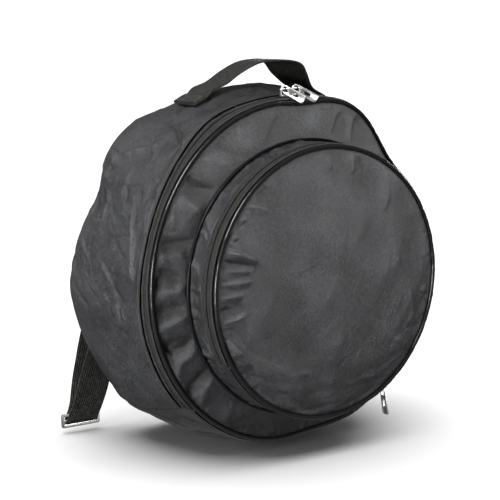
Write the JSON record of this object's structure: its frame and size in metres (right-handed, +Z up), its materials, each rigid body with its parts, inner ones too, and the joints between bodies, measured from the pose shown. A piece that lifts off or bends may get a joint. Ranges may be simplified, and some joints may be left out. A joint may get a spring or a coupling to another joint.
{
  "type": "drum bag",
  "caption": "Round soft nylon bag for a snare drum, standing on its rim, with a zipped front, a round zipped pocket, a webbing handle and backpack straps.",
  "frame": {"origin": "on the surface that the bag stands on, under the middle of the bag's depth, in the middle of its flat foot", "axes": "+Z up, -Y out of the pocket's front, +Y out of the back panel towards the wearer, +X to the right seen from the front"},
  "size_m": [0.3711, 0.2525, 0.3974],
  "materials": {
    "nylon_cloth": "plain-woven nylon, soft sheen",
    "piping": "smooth covered cord, satin",
    "zip_tape": "woven tape, matt",
    "zip_coil": "nylon coil, satin",
    "webbing": "ribbed webbing, matt",
    "nickel": "bright nickel plate"
  },
  "bodies": {
    "bag": {"side_wall": "nylon_cloth", "base_gusset": "nylon_cloth", "back_panel": "nylon_cloth", "front_panel": "nylon_cloth", "front_piping": "piping", "main_zip_tape_front": "zip_tape", "main_zip_coil": "zip_coil", "main_zip_tape_rear": "zip_tape", "pocket_gusset": "nylon_cloth", "pocket_base_piping": "piping", "pocket_zip_tape_rear": "zip_tape", "pocket_zip_coil": "zip_coil", "pocket_zip_tape_front": "zip_tape", "pocket_zip_stay": "nylon_cloth", "pocket_piping": "piping", "pocket_front": "nylon_cloth", "main_slider_left": "nickel", "main_slider_right": "nickel", "pocket_slider": "nickel", "top_handle": "webbing", "strap_left": "webbing", "strap_slide_left": "nickel", "strap_right": "webbing", "strap_slide_right": "nickel"},
    "left_pull": {"main_pull_left": "nickel"},
    "right_pull": {"main_pull_right": "nickel"},
    "pocket_pull": {"pocket_pull": "nickel"}
  },
  "joints": [
    {"name": "left_pull_swing", "type": "hinge", "parent": "bag", "child": "left_pull", "pos_m": [-0.00689, -0.0666, 0.37077], "axis": [-0.9993, 0, -0.0366], "range_deg": [0, 165]},
    {"name": "right_pull_swing", "type": "hinge", "parent": "bag", "child": "right_pull", "pos_m": [0.00756, -0.0666, 0.37115], "axis": [-0.9992, 0, 0.0401], "range_deg": [0, 165]},
    {"name": "pocket_pull_swing", "type": "hinge", "parent": "bag", "child": "pocket_pull", "pos_m": [0.07923, -0.1223, 0.0575], "axis": [0, 1, 0], "range_deg": [-105, 60]}
  ]
}
